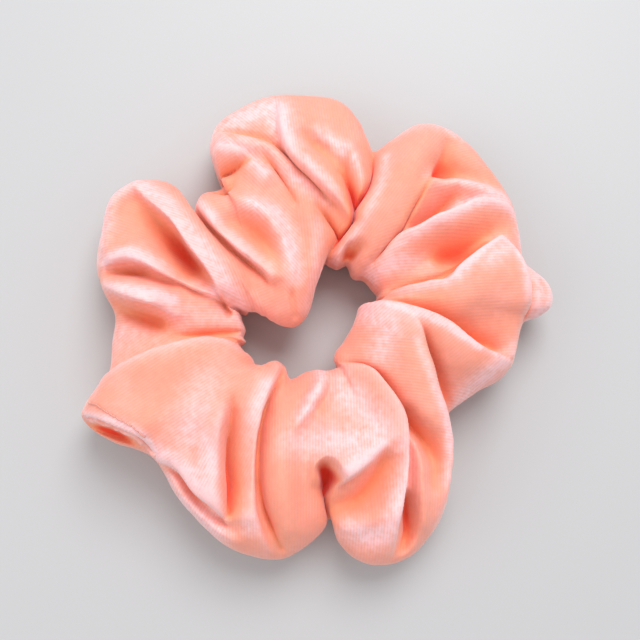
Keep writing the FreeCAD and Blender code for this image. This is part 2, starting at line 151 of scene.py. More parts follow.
# Each guide runs from the opening's outline to the outer outline: (x, y, x, y), anticlockwise.
GUIDES = (
    # right: the fold that points out to the right, with a small lobe behind it
    (12.3, 1.7, 49.2, -10.8), (14.5, 2.6, 50.6, -5), (15.8, 2.8, 51.8, -0.8), (16.6, 3, 55.2, 0.4),
    (17.1, 3.2, 58.3, 2.4), (17.3, 3.5, 59, 5.2), (17.3, 3.9, 57.8, 8.4), (17.1, 4.3, 55.3, 11.2),
    (17.2, 5, 52.6, 14.4), (17.2, 6, 51.7, 20),
    # upper right: the widest lobe, gathered into two feet at the opening
    (16.2, 7.2, 50, 27), (15.2, 8.6, 47, 33), (13.6, 9.8, 42.6, 39), (11.4, 10.2, 37, 44.6),
    (10, 13.3, 32.5, 47), (8.4, 12.5, 27, 47), (6.4, 12.6, 21.5, 44), (4.9, 13.6, 16.5, 40.3),
    # top: the lobe that folds forward and hangs over the opening
    (5.3, 14.5, 14.5, 43.5), (4.2, 12, 12.2, 48.5), (3.3, 9, 7.5, 53.3), (2.2, 5.5, -1, 54.3),
    (1, 1.5, -9, 54), (-0.6, -1.3, -16, 51), (-2.6, -2.5, -21.5, 46.5), (-4.2, -2.6, -23, 40.5),
    (-5.8, -2.3, -21, 34.5), (-7.2, -1.8, -19.5, 31.5), (-8.5, -1, -24.8, 29), (-9.7, -0.3, -26.5, 24.5),
    # upper left
    (-11.5, 0.5, -30.3, 30), (-13.5, 1, -35, 32.2), (-15.5, 1.4, -41.5, 31.7), (-16.2, 1.2, -46, 28),
    (-15.3, 0.2, -48, 20), (-14.8, -1, -49, 12), (-14.6, -2.5, -47.3, 5.5), (-14.6, -4, -44.6, 0),
    (-14.4, -5.7, -45, -6.5), (-15.3, -7.3, -45.5, -13),
    # lower left: the broad lobe with the topstitched closing
    (-13.3, -9.2, -48.7, -18), (-12.2, -10.6, -51.4, -23), (-11.2, -11.7, -49.5, -26),
    (-10.2, -11.7, -43.5, -29.5), (-9.2, -11.3, -36.3, -31.7), (-8.3, -10.8, -32.8, -35),
    (-7.3, -10.4, -29, -42), (-6, -10.6, -23, -48.5), (-4.6, -12, -17, -53.3),
    # bottom
    (-3.7, -14.5, -10.5, -55.5), (-2.3, -14.4, -5, -55.8), (-0.3, -13.2, 0, -53.2), (1.5, -12.7, 4, -49.5),
    (2.7, -12.6, 5.8, -46.8), (3.8, -12.7, 7.5, -52), (5, -12.7, 12.5, -56.2), (6.3, -12.5, 19, -57),
    (7.5, -12, 25, -54.8), (6.8, -10.3, 30, -48.8),
    # lower right
    (7.2, -8.3, 33, -41), (8.5, -6.5, 33.7, -33), (9.6, -4.7, 33, -26), (10.5, -3, 33.5, -22.8),
    (11.2, -1.3, 39.6, -17.9), (11.8, 0.2, 45.5, -14.8),
)

# Crests and creases: the width to the left and to the right of the stroke's direction, then the points
# (x, y, height) along it. A crest is round, and steep on its narrow side. A crease has a sharp bottom,
# and a hollow a round one.
STROKES = (
    # right: the fold that points right, with the small lobe behind it
    ("crest", 0.9, 7, (12.5, 2, 3), (20, 0, 5), (28, -3, 6), (38, -9, 5), (47, -11.5, 3)),
    ("crease", 2.6, 1, (17.5, 2.8, 2), (28, -0.8, 4), (36, -5.2, 5), (43, -8.2, 4)),
    ("crest", 7, 6, (20, 2, 2), (30, 2, 3), (41, 3, 4)),
    ("crest", 0.8, 6, (17.6, 3, 2), (21.9, 4.7, 4), (27.4, 5.6, 5), (31.8, 5.9, 6), (34.3, 8, 7),
     (37.2, 10.3, 8), (40.4, 12.8, 8), (43.8, 15, 6)),
    ("crest", 0.9, 4, (43.8, 15, 5), (46.6, 12.4, 6), (48.3, 8.6, 6), (48.9, 3.8, 5), (48.6, -2, 4),
     (47.5, -9, 3)),
    ("crease", 1.2, 1.2, (50.4, 13, 8), (51.4, 7, 9), (51, 0, 7)),
    ("hollow", 0.9, 0.9, (55.8, 8, 2), (56.4, 5.4, 2)),
    ("crease", 1.8, 0.8, (19.5, 5.6, 2), (24.5, 7, 3), (30.2, 8, 3), (33.2, 9.6, 4), (36, 11.8, 5),
     (39.2, 14.3, 5), (42.6, 16.6, 3)),
    ("hollow", 3, 2.2, (24, 10.6, 1), (28, 13, 3), (31.5, 13.8, 6), (34.9, 14.8, 6), (38.5, 17.2, 4),
     (43, 19.8, 3), (48, 22, 2)),
    # upper right
    ("crest", 1, 4, (16.5, 12, 2), (20.6, 15.4, 4), (25, 17.7, 5), (29.4, 20, 6), (35, 22.8, 5),
     (40, 25.5, 4), (47.3, 25.2, 3)),
    ("hollow", 1.6, 1.4, (25.3, 19.2, 3), (28.8, 22, 5), (32, 25.2, 4), (34.2, 27.8, 2)),
    ("crest", 1.8, 2.6, (21.5, 19.5, 2), (25, 25, 3), (28.3, 29.2, 4), (32.8, 30.2, 4), (38.3, 29.4, 4),
     (43.8, 28.2, 3), (47, 26.7, 2)),
    ("hollow", 1.4, 3.5, (30.4, 32.6, 4), (32.1, 36, 4), (33.6, 40, 2)),
    ("hollow", 3, 1.6, (30.5, 32.8, 4), (35.8, 33.2, 4), (40.3, 32.4, 3), (43.8, 31.4, 2)),
    ("crest", 5.5, 6.5, (8.5, 9.5, 4), (13, 15, 6), (18, 23, 7), (23.5, 33, 7), (27.5, 42, 4)),
    ("crease", 1.3, 1, (15.5, 11.5, 3), (20.2, 16.2, 5), (23.6, 22.6, 5), (27, 28.4, 3), (30.3, 35, 2),
     (32.6, 41, 1)),
    ("hollow", 1.05, 1.05, (9.3, 12.7, 10), (10, 13.6, 18), (10.9, 14.5, 15), (11.8, 15.2, 6)),
    ("crease", 1.3, 1.2, (4.8, 12.5, 5), (6.5, 16, 6), (9, 19, 6), (11.4, 22, 7), (12.6, 24.8, 7),
     (14.2, 28.4, 6), (15.4, 32.6, 6), (15.8, 37, 5), (15.8, 40, 4)),
    # top
    ("crest", 1.6, 1.6, (9.8, 38.6, 2), (11.4, 34.8, 3), (12.3, 30.9, 3), (12.8, 28, 2)),
    ("crease", 1.5, 1.1, (11.4, 22.4, 6), (10.9, 25.5, 7), (10.1, 28.7, 6), (8.9, 32, 4)),
    ("hollow", 1.6, 1.6, (7.8, 33.4, 2), (5, 36.6, 3), (2.4, 39.2, 4), (-0.4, 41.4, 2)),
    ("crease", 1, 1, (2.4, 24.4, 2), (3.8, 22.8, 4), (5.3, 20.9, 5), (7, 18.3, 5)),
    ("crest", 1.2, 5, (9.5, 22.5, 3), (7.4, 25.6, 4), (5.4, 28.1, 5), (1.7, 32.3, 5), (-1.9, 35.6, 5),
     (-4, 39.2, 5), (-5.2, 43.1, 5), (-6, 49.8, 2)),
    ("crease", 1.1, 1.1, (-19.6, 43.6, 4), (-15.8, 42.6, 4), (-12.1, 41.6, 4), (-8.8, 40.2, 4),
     (-6.1, 38.2, 4), (-2.8, 35.4, 3), (0, 32.9, 3), (2.8, 30, 3), (4.6, 27.7, 2), (6.4, 25.4, 1)),
    ("crest", 2.2, 2.2, (-19, 41, 3), (-14, 39.8, 3), (-9, 37.8, 3), (-5, 34, 2)),
    ("crease", 0.8, 0.8, (-10.5, 37, 1), (-9.2, 35.5, 3), (-7.3, 33.2, 4), (-5.1, 29.9, 3),
     (-2.6, 25.6, 2)),
    ("crest", 1.1, 2.4, (-19.9, 37.9, 4), (-16.7, 37.1, 5), (-13.9, 35.2, 4), (-12.1, 33.3, 3),
     (-9.7, 31.4, 2)),
    ("crease", 1.2, 1.2, (-21, 32, 5), (-18.3, 32.9, 6), (-16, 33.6, 5), (-14.1, 34.2, 3)),
    ("crease", 1, 1, (-21.2, 28.6, 5), (-19, 27.9, 5), (-17.6, 28.4, 4), (-17, 29.6, 2)),
    # the fold over the opening
    ("crest", 2.8, 3.4, (-23, 26, 3), (-17, 25.5, 3), (-11, 23, 4), (-7, 18, 4), (-4.8, 13, 4), (-4, 7, 4),
     (-3.2, 1, 3)),
    ("hollow", 1.9, 2.8, (-17, 20.4, 2), (-14.2, 20.2, 3), (-11, 17.9, 4), (-8.6, 14.4, 3),
     (-7.2, 10.6, 2)),
    ("crest", 2.2, 0.9, (-25.2, 25.4, 3), (-21.2, 20.8, 4), (-16.5, 16.2, 4), (-11.8, 12.5, 4),
     (-8.9, 10, 4), (-7.8, 8, 3)),
    ("crease", 1.2, 1, (-26.8, 24.8, 3), (-22.4, 19.4, 3), (-17.7, 14.6, 3), (-13, 10.9, 3),
     (-10.2, 8.6, 2), (-8.8, 7, 1)),
    ("crest", 3, 3, (0.5, 22, 3), (1.5, 15, 3), (1, 8, 3), (-0.3, 2, 2)),
    ("hollow", 0.8, 0.8, (-3.4, 4, 2), (-2.6, -0.5, 2)),
    # upper left
    ("crest", 3.4, 0.9, (-39, 29, 2), (-35.8, 25.8, 4), (-32.9, 23.4, 5), (-29.5, 20.4, 6), (-26, 15.5, 6),
     (-21.9, 10.1, 6), (-19.1, 5.3, 6), (-17.3, 1.6, 4)),
    ("hollow", 1.3, 3.8, (-38.6, 26, 3), (-35, 22.2, 4), (-31.4, 18.4, 6), (-28.4, 14.6, 8), (-25.6, 11, 7),
     (-23, 8, 3)),
    ("hollow", 1.2, 1.2, (-18.6, 2.6, 5), (-17.4, 1, 5)),
    ("crest", 2.4, 2.4, (-40, 30.6, 3), (-44.6, 27.5, 4), (-46.3, 22, 4), (-46.6, 16, 4)),
    ("crest", 3, 0.9, (-47, 11.2, 2), (-44.4, 11.9, 4), (-40.8, 12.4, 5), (-37.2, 11.7, 5), (-33.4, 9.9, 5),
     (-28.2, 7.4, 4), (-24.3, 5.6, 4), (-20, 3.9, 3)),
    ("hollow", 1.2, 1.5, (-44.8, 9.6, 3), (-42.6, 9.4, 5), (-40, 9.2, 6), (-37.4, 8.8, 5), (-34.8, 7.8, 2),
     (-31, 6.2, 1)),
    ("crest", 2.2, 1, (-46.5, 6.2, 3), (-43.5, 5.2, 5), (-41, 4.2, 6), (-37.4, 3.2, 7), (-34, 2.2, 7),
     (-31.4, 1, 4), (-29.4, -0.6, 2)),
    ("hollow", 1.4, 2.4, (-43.5, 2, 4), (-41, 0.8, 5), (-37.2, -0.6, 6), (-33.5, -2, 5), (-31, -3.2, 2)),
    ("hollow", 5, 5, (-42, -8, 2), (-30, -7, 2), (-18, -5, 2)),
    ("crease", 1, 1, (-14.6, -3.7, 4), (-19.6, -4.3, 3), (-24.1, -5, 3), (-29.7, -5.5, 1)),
    ("crease", 0.8, 0.8, (-14, -6.6, 4), (-17, -6, 3), (-21, -5.8, 1)),
    # lower left
    ("crest", 7, 0.9, (-12.8, -9.6, 2), (-17.8, -7.3, 4), (-22.9, -7.4, 5), (-27.9, -8.8, 6),
     (-33.4, -10.5, 6), (-39.4, -12.8, 6), (-44.5, -15.4, 5), (-48, -18.5, 2)),
    ("crest", 8, 8, (-14, -14, 3), (-24, -22, 5), (-34, -27, 5)),
    ("crest", 3.5, 0.8, (-49.5, -23.2, 5), (-46.5, -23.6, 6), (-43, -24.5, 6), (-39.8, -25.7, 6),
     (-36.5, -27.2, 6), (-34.4, -29.4, 5), (-32.6, -32.2, 4)),
    ("hollow", 1, 1.1, (-49.6, -25.4, 10), (-46.6, -26.2, 18), (-43.4, -27.3, 15), (-40.2, -28.7, 9),
     (-37.2, -30.2, 4)),
    ("crest", 4, 0.8, (-31.6, -32.8, 3), (-27.7, -35.2, 4), (-24.9, -38.9, 5), (-21.5, -42.3, 5),
     (-18.1, -45.6, 4)),
    ("crease", 0.8, 1, (-31.4, -34.2, 2), (-28, -36.6, 2), (-25, -40.3, 2), (-21.6, -43.7, 2),
     (-18.4, -46.6, 1)),
    ("crest", 1.8, 1.8, (-32, -35.8, 6), (-29.6, -39.5, 8), (-25.6, -44.4, 8), (-21, -48.2, 8),
     (-16, -51.2, 4)),
    ("crease", 1.6, 0.9, (-16.6, -20, 1), (-17, -25, 2), (-17.8, -30, 4), (-18, -35.5, 5), (-17.4, -41, 6),
     (-16.6, -44.3, 5)),
    ("hollow", 2, 1.8, (-15.4, -24, 1), (-15.6, -30, 2), (-15.8, -38, 3), (-15.2, -43, 2)),
    ("crest", 1.4, 3, (-19, -22, 2), (-20.4, -28, 4), (-20.6, -36, 4), (-19.4, -43, 3)),
    # bottom
    ("crest", 1, 2.6, (-6.6, -12.2, 4), (-9.6, -17.5, 5), (-11.8, -24, 6), (-12.7, -31, 6), (-12.8, -38, 6),
     (-12.2, -45, 6), (-10.4, -50, 5), (-8.5, -54, 3)),
    ("crease", 1.3, 1.1, (-5.4, -14.2, 3), (-8.4, -19.8, 3), (-9.9, -24.9, 3), (-10.6, -29.9, 3),
     (-10.7, -34.9, 3), (-10.3, -39.3, 4), (-9.1, -44.3, 5), (-7.3, -48.7, 5), (-5.4, -52.8, 4)),
    ("crest", 4, 4, (-3.5, -17, 3), (-5.5, -27, 4), (-5.5, -38, 5), (-3.5, -48, 4)),
    ("crest", 1.6, 1.6, (3.3, -13.2, 3), (3.3, -16, 4), (1.3, -19.6, 4), (-0.9, -23.5, 3), (-3, -27, 1)),
    ("hollow", 1.3, 1.3, (5.2, -15, 1), (4.8, -18, 2), (2.6, -22, 1)),
    ("crease", 1.2, 1, (3.5, -38.5, 7), (3.6, -40.5, 8), (4.3, -43.5, 9), (5.4, -47, 10)),
    ("hollow", 1.9, 1.9, (4.2, -35.8, 10), (3.7, -38.2, 8)),
    ("crest", 1.4, 0.9, (1.6, -37.5, 3), (1.8, -34.4, 4), (4.2, -32.3, 4), (6.8, -33.2, 4)),
    ("crest", 7, 7, (6, -16, 3), (8, -24, 4), (10, -30, 3)),
    ("crest", 3, 1.7, (5.4, -38.6, 4), (6.8, -36.8, 6), (9.2, -35, 6), (12.9, -32.2, 5), (15.8, -29.8, 3),
     (18, -28.5, 1)),
    ("hollow", 1.8, 2.4, (7.4, -43.4, 3), (11.2, -42, 5), (14.6, -38.2, 5), (17.2, -33.6, 4),
     (18.2, -31, 1)),
    ("crest", 3, 3, (8, -48, 2), (13, -46.5, 3), (17.5, -43.5, 2)),
    ("crest", 0.9, 3.4, (7.5, -12, 3), (12, -12.8, 3), (15, -15, 4), (18, -20, 5), (20, -24.2, 5),
     (21, -28.4, 5), (21.2, -32.7, 5), (20.8, -37.7, 5), (20.2, -42, 5), (19.2, -47.5, 5),
     (18.6, -53.5, 3)),
    ("hollow", 1.8, 1.4, (22, -23, 5), (24, -26, 6), (26.8, -29.6, 5), (28.4, -33.6, 4), (28.2, -38.6, 2)),
    ("hollow", 1.3, 1.6, (22.3, -42.2, 7), (22.8, -45.6, 10), (22.9, -49.2, 9), (21.8, -52.6, 5)),
    ("crest", 1.6, 1.8, (23.8, -29.5, 2), (25, -34, 4), (25.4, -40, 4), (26, -47, 3)),
    # lower right
    ("hollow", 1.6, 2.8, (25.4, -8.2, 4), (27.2, -11.4, 5), (29.4, -15.8, 6), (31.6, -19.8, 5),
     (33, -22.6, 3)),
    ("crest", 0.9, 4, (14, 1, 2), (21.5, -3.2, 3), (23.8, -6, 5), (25.4, -9.8, 6), (27.4, -15.4, 6),
     (29.2, -19.8, 6), (31.2, -25, 6), (32.3, -30, 6), (32, -36.6, 5), (30.6, -43, 4), (28.6, -48, 2)),
    ("crest", 5, 5, (12, -6, 2), (19, -13, 3), (26, -23, 3)),
    ("crease", 1, 0.9, (7.5, -11.5, 3), (12.4, -12.2, 3), (16.4, -14.6, 3), (19.2, -19.3, 4),
     (21.2, -23.6, 4)),
    ("crest", 4, 4, (30, -6, 2), (38, -12.5, 3), (44, -13, 2)),
)


# ---- curves ----

def periodic(points, knots, at):
    """A smooth closed curve through the points, read at the places given along it."""
    points, knots = np.asarray(points, float), np.asarray(knots, float)
    count, whole = len(points), knots[-1]
    index = np.clip(np.searchsorted(knots, at, side="right") - 1, 0, count - 1)
    start, end = knots[index], knots[index + 1]

    def gradient(i):
        before, after = points[(i - 1) % count], points[(i + 1) % count]
        gap = (knots[:-1][(i + 1) % count] - knots[:-1][(i - 1) % count]) % whole
        return (after - before) / gap[:, None]

    share = ((at - start) / (end - start))[:, None]
    length = (end - start)[:, None]
    square, cube = share**2, share**3
    return ((2 * cube - 3 * square + 1) * points[index] + (cube - 2 * square + share) * length * gradient(index)
            + (3 * square - 2 * cube) * points[(index + 1) % count]
            + (cube - square) * length * gradient((index + 1) % count))


def between(a, b, c, d, t):
    """The point at t from b to c on a smooth curve through all four."""
    return 0.5 * (2 * b + (c - a) * t + (2 * a - 5 * b + 4 * c - d) * t**2 + (3 * b - a - 3 * c + d) * t**3)


def unit(vectors):
    """The vectors, each divided by its length."""
    return vectors / np.maximum(np.linalg.norm(vectors, axis=-1, keepdims=True), 1e-9)


def smooth_line(points, steps=8):
    """More points on a smooth curve through the points."""
    points = np.asarray(points, float)
    ends = np.vstack([2 * points[0] - points[1], points, 2 * points[-1] - points[-2]])
    rows = [between(*ends[k:k + 4], t) for k in range(len(points) - 1) for t in np.arange(steps) / steps]
    return np.array(rows + [points[-1]])


def along_stroke(plan, line, reach):
    """Which plan points the stroke reaches, and for each its distance, the value there, the side
    (-1 right to 1 left) and the stroke's direction to the left."""
    low, high = line[:, :2].min(0) - reach, line[:, :2].max(0) + reach
    near = np.flatnonzero(((plan > low) & (plan < high)).all(1))
    spots = plan[near]
    best = np.full(len(spots), np.inf)
    value, side, left = np.zeros(len(spots)), np.zeros(len(spots)), np.zeros((len(spots), 2))
    for start, end in zip(line, line[1:]):
        run = end[:2] - start[:2]
        size = np.hypot(*run)
        offset = spots - start[:2]
        t = np.clip(offset @ run / size**2, 0, 1)
        gap = offset - t[:, None] * run
        distance = np.hypot(gap[:, 0], gap[:, 1])
        nearer = distance < best
        best[nearer] = distance[nearer]
        value[nearer] = (start[2] + (end[2] - start[2]) * t)[nearer]
        cross = (run[0] * gap[:, 1] - run[1] * gap[:, 0]) / size
        side[nearer] = (cross / np.maximum(distance, 1e-6))[nearer]
        left[nearer] = (-run[1] / size, run[0] / size)
    return near, best, value, side, left


def sculpted(plan):
    """What the strokes do at each plan point: the lift, the sideways lean, and how much painted crest
    highlight and how much painted crease shade there is, from 0 to 1."""
    raised, lean = np.zeros(len(plan)), np.zeros((len(plan), 2))
    crest, crease = np.zeros(len(plan)), np.zeros(len(plan))
    for kind, left_width, right_width, *points in STROKES:
        line = smooth_line(points)
        leaning = kind == "crest" and abs(left_width - right_width) > 1
        narrow = 1 if left_width < right_width else -1
        if leaning:
            run = unit(np.gradient(line[:, :2], axis=0))
            line[:, 0] += run[:, 1] * narrow * SET_BACK * LEAN * line[:, 2]
            line[:, 1] -= run[:, 0] * narrow * SET_BACK * LEAN * line[:, 2]
        near, distance, height, side, left = along_stroke(plan, line, 3.2 * max(left_width, right_width) + 1)
        width = right_width + (left_width - right_width) * (0.5 + 0.5 * side)
        if kind == "crest":
            hill = np.exp(-(distance / width) ** 2)
            raised[near] += height * hill
            if leaning:
                behind = narrow * side < 0
                hold = np.exp(-(distance / np.where(behind, 0.6 * width, 1.35 * width)) ** 2)
                lean[near] += left * (narrow * LEAN * height * hold)[:, None]
                # crest: a painted highlight along the leaning crest's edge, used only for colour
                crest[near] += np.minimum(1, height / 4) * np.exp(-(distance / 1.0) ** 2)
        else:
            hill = np.exp(-distance / width) if kind == "crease" else np.exp(-(distance / width) ** 2)
            raised[near] -= height * hill
            # crease: painted shade, how far a hollow or crease is painted darker and redder; used only for
            # colour
            crease[near] += height / (6 if kind == "crease" else 9) * hill
            if kind == "crease":
                share = distance / (1.6 * width)
                hold = share * np.exp(0.5 - 0.5 * share**2)
                lean[near] -= left * (side * PINCH * height * hold)[:, None]
    return raised, lean, crest, crease


def painted(plan, strokes):
    """How strongly each plan point is painted by the strokes, from 0 to 1."""
    amount = np.zeros(len(plan))
    for width, *points in strokes:
        near, distance, value, _, _ = along_stroke(plan, smooth_line(points, 4), 3 * width)
        amount[near] = np.maximum(amount[near], value * np.exp(-(distance / width) ** 2))
    return amount


# ---- the cover's surface ----

def ring_places():
    """The guides' ends all round the ring, closer together where the outer outline is longer."""
    guides = np.array(GUIDES)
    step = np.roll(guides, -1, axis=0) - guides
    gaps = np.maximum(np.linalg.norm(step[:, 2:], axis=1), 1.2 * np.linalg.norm(step[:, :2], axis=1))
    knots = np.concatenate([[0], np.cumsum(gaps)])
    found = periodic(guides, knots, knots[-1] * np.arange(ROUND) / ROUND)
    return found[:, :2], found[:, 2:]


def crossing(inner, outer, radius):
    """Where each guide meets a circle round the opening's middle, or its inner end if it doesn't."""
    run = inner - outer
    a, b = (run**2).sum(1), 2 * (run * outer).sum(1)
    c = (outer**2).sum(1) - radius**2
    root = np.sqrt(np.maximum(b * b - 4 * a * c, 0))
    share = np.where(b * b > 4 * a * c, np.clip((-b - root) / (2 * a), 0, 1), 1)
    return outer + run * share[:, None]


def over_the_top(inner, outer):
    """Rows from the opening over the top to the outer outline, with their painted crest highlight and painted
    crease shade.
    """
    turn = np.linspace(0, math.pi, TOP_ROWS)
    share = (1 - np.cos(turn)) / 2
    plan = inner[:, None] + (outer - inner)[:, None] * share[None, :, None]
    raised, lean, crest, crease = (part.reshape(plan.shape[:2] + part.shape[1:])
                                   for part in sculpted(plan.reshape(-1, 2)))
    side = OPENING_LIP + (EDGE - OPENING_LIP) * share
    rise = np.sin(turn) ** 0.8
    top = np.maximum(CROWN + raised, 0)
    top = LOWEST_TOP + np.logaddexp(0, (top - LOWEST_TOP) / 1.5) * 1.5
    top = HIGHEST_TOP - np.logaddexp(0, (HIGHEST_TOP - top) / 1.0) * 1.0
    height = side + (top - side) * rise
    moved = plan + lean * rise[None, :, None]
    near_elastic = np.exp(-((np.linalg.norm(moved, axis=2) - ELASTIC_RADIUS) / 2.4) ** 4)
    height = np.maximum(height, (ELASTIC_HIGH + ELASTIC_CLEAR) * near_elastic)
    return np.dstack([moved, height]), crest * rise, crease * rise


def underneath(inner, outer, top):
    """Rows from the outer outline back under the ring and up the wall of the opening."""
    foot = crossing(inner, outer, OPENING)
    inward = unit(inner - outer)
    reach = np.linalg.norm(foot - outer, axis=1)[:, None]

    def at(plan, height):
        return np.column_stack([plan, height + np.zeros(len(plan))])

    tuck = tucks((foot + outer) / 2)
    controls = [top[:, -2], top[:, -1],
                at(outer + inward * 0.08 * reach, 2.8 + 1.4 * tuck),
                at(outer + inward * 0.26 * reach, 0.7 + 3.2 * tuck),
                at(foot - inward * 0.22 * reach, 0.7 + 3.8 * tuck),
                at(foot - inward * 1.4, 3.0 + 2.0 * tuck),
                at(foot + inward * 0.2, 8.5), top[:, 0], top[:, 1]]
    rows = [between(*controls[k:k + 4], t)
            for k, count in enumerate(WALL_STEPS) for t in np.arange(count) / count]
    return np.stack(rows[1:], axis=1)


def tucks(middle):
    """The gathers of the underside, from 0 where it rests to 1 in a valley, for each place round the ring."""
    gaps = np.linalg.norm(np.roll(middle, -1, axis=0) - middle, axis=1)
    turn = 2 * math.pi * (np.cumsum(gaps) - gaps) / gaps.sum()
    beat = np.sin(15 * turn + 1.5 * np.sin(2 * turn + 0.7) + 0.9 * np.sin(5 * turn + 2))
    depth = 0.65 + 0.35 * np.sin(4 * turn + 1 + np.sin(3 * turn))
    return depth * np.clip(beat + 0.15, 0, 1) ** 1.3


def relaxed(surface, share=0.5):
    """The surface with each point drawn towards its neighbours."""
    around = sum(np.roll(surface, step, axis) for axis in (0, 1) for step in (1, -1))
    return surface + share * (around / 4 - surface)


def normals(surface):
    """Outward normals of a surface that is closed both ways."""
    across = np.roll(surface, -1, 1) - np.roll(surface, 1, 1)
    along = np.roll(surface, -1, 0) - np.roll(surface, 1, 0)
    return unit(np.cross(across, along))


def cover_surface():
    """The outer surface in mm (round the ring, round the tube, 3), and its named values per point."""
    inner, outer = ring_places()
    top, crest, crease = over_the_top(inner, outer)
    surface = np.concatenate([top, underneath(inner, outer, top)], axis=1)
    rows, columns = surface.shape[:2]
    surface = relaxed(surface)
    surface += wrinkles(surface) * normals(surface)
    surface = relaxed(surface, 0.3)
    surface[..., 2] = np.maximum(surface[..., 2], REST)
    plan = surface[..., :2].reshape(-1, 2)
    on_top = np.zeros((rows, columns))
    on_top[:, :TOP_ROWS] = 1
    # painted sheen: the top's pile painted pale where it would catch the light
    sheen_paint = painted(plan, PAINTED_SHEEN).reshape(rows, columns) * on_top
    fill = np.zeros((rows, columns - TOP_ROWS))
    values = {"crest": np.clip(np.hstack([crest, fill]), 0, 1),
              "crease": np.clip(np.hstack([crease, fill]), 0, 1),
              "brushed": np.clip(sheen_paint, 0, 1)}
    ring = crossing(inner, outer, ELASTIC_RADIUS)
    values["turn"] = np.repeat(np.arctan2(ring[:, 1], ring[:, 0])[:, None], columns, axis=1)
    return surface, values


def wrinkles(surface):
    """Small gathers at the opening and the crushed unevenness of the pile, as a height per point."""
    rows, columns = surface.shape[:2]
    rim = surface[:, 0]
    walk = np.concatenate([[0], np.cumsum(np.linalg.norm(np.diff(rim, axis=0), axis=1))])
    distance = np.linalg.norm(surface - rim[:, None], axis=2)
    fade = np.exp(-(distance / GATHER_REACH) ** 2)
    beat = np.sin(walk * 2 * math.pi / 3.1 + 1.3 * np.sin(walk * 0.37) + 0.9 * np.sin(walk * 0.83 + 1))
    where = sum(np.exp(-(np.linalg.norm(rim[:, :2] - (x, y), axis=1) / spread) ** 2)
                for x, y, spread in GATHERED)
    found = GATHER_HEIGHT * (beat * where)[:, None] * fade
    crush = np.array([noise.noise(Vector(point * 0.11)) + 0.5 * noise.noise(Vector(point * 0.27))
                      for point in surface.reshape(-1, 3)]).reshape(rows, columns)
    return (found + CRUSH_HEIGHT * crush)[..., None]


# ---- meshes ----

def mesh_object(name, points, faces, material):
    data = bpy.data.meshes.new(name)
    data.from_pydata((np.asarray(points) * MM).tolist(), [], list(faces))
    data.polygons.foreach_set("use_smooth", [True] * len(data.polygons))
    data.materials.append(material)
    made = bpy.data.objects.new(name, data)
    bpy.context.scene.collection.objects.link(made)
    return made


def grid_faces(rows, columns, closed, flip=False):
    """Quads of a grid whose rows are closed, and whose columns are closed too or have a face on each end."""
    i, j = np.meshgrid(np.arange(rows if closed else rows - 1), np.arange(columns), indexing="ij")
    row, after, beside = i * columns, (i + 1) % rows * columns, (j + 1) % columns
    quads = np.stack([row + j, row + beside, after + beside, after + j], 2).reshape(-1, 4)
    faces = (quads[:, ::-1] if flip else quads).tolist()
    if not closed:
        faces += [list(range(columns))[::-1], list(range((rows - 1) * columns, rows * columns))]
    return faces


def thread_mesh(path, closed, radius, sides=6):
    """Points and faces of a round thread along the path."""
    path = np.asarray(path, float)
    step = np.roll(path, -1, 0) - np.roll(path, 1, 0) if closed else np.gradient(path, axis=0)
    step = unit(step)
    across = np.cross(step, (0, 0, 1))
    weak = np.linalg.norm(across, axis=1) < 0.2
    across[weak] = np.cross(step[weak], (1, 0, 0))
    across = unit(across)
    upwards = np.cross(across, step)
    turn = np.arange(sides) * 2 * math.pi / sides
    cos, sin = np.cos(turn)[:, None], np.sin(turn)[:, None]
    points = (path[:, None] + (across[:, None] * cos + upwards[:, None] * sin) * radius).reshape(-1, 3)
    return points, grid_faces(len(path), sides, closed)


def resampled(path, gap, closed):
    """Points at an even gap along the path, and the whole number of gaps."""
    path = np.asarray(path, float)
    if closed:
        path = np.vstack([path, path[:1]])
    walk = np.concatenate([[0], np.cumsum(np.linalg.norm(np.diff(path, axis=0), axis=1))])
    count = max(2, round(walk[-1] / gap))
    at = np.linspace(0, walk[-1], count + 1)
    found = np.column_stack([np.interp(at, walk, path[:, k]) for k in range(path.shape[1])])
    return found[:-1] if closed else found


def stitched(name, path, facing, gap, stand, material, closed, swing=0.0):
    """Needle and bobbin threads along a path, locked through the cloth once every stitch.

    facing is the side that the needle thread lies on. stand is half the cloth's thickness, and swing
    is half the width of a zigzag.
    """
    parts = 8
    line = resampled(np.hstack([path, facing]), gap / parts, closed)
    count = len(line) // parts * parts if closed else (len(line) - 1) // parts * parts + 1
    if closed:
        line = resampled(np.hstack([path, facing]), gap / parts * len(line) / count, True)[:count]
    else:
        line = line[:count]
    place, face = line[:, :3], unit(line[:, 3:])
    step = np.roll(place, -1, 0) - np.roll(place, 1, 0) if closed else np.gradient(place, axis=0)
    sideways = unit(np.cross(face, step))
    phase = np.arange(len(line)) % parts
    out = np.select([phase == 0, (phase == 1) | (phase == parts - 1)], [0.1, 0.75], 1.0)
    side = np.abs((np.arange(len(line)) / parts) % 2 - 1) * 2 - 1
    made = []
    for word, sign in (("needle", 1), ("bobbin", -1)):
        reach = sign * out * (stand + 0.6 * THREAD)
        shifted = place + face * reach[:, None] + sideways * (swing * side)[:, None]
        points, faces = thread_mesh(shifted, closed, THREAD / 2)
        made.append(mesh_object(f"{name}_{word}", points, faces, material))
    return made


def strip(path, inwards, sideways, depth, half):
    """Points and faces of a narrow flap of cloth that stands inwards from a closed path."""
    shape = ((0, -half), (depth, -half), (depth + 0.5 * half, 0), (depth, half), (0, half), (-0.5 * half, 0))
    points = np.stack([path + inwards * a + sideways * b for a, b in shape], axis=1)
    return points.reshape(-1, 3), grid_faces(len(path), len(shape), True)


# ---- pieces ----

def with_ring(made, turns):
    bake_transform(made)


def own_turns(made):
    points = vertices(made)
    return np.arctan2(points[:, 1], points[:, 0])


def nearest_turns(made, places, turns):
    """Each vertex's angle from the nearest of some places on the cover."""
    gaps = np.linalg.norm(vertices(made)[:, None] - places[None], axis=2)
    return turns[np.argmin(gaps, axis=1)]


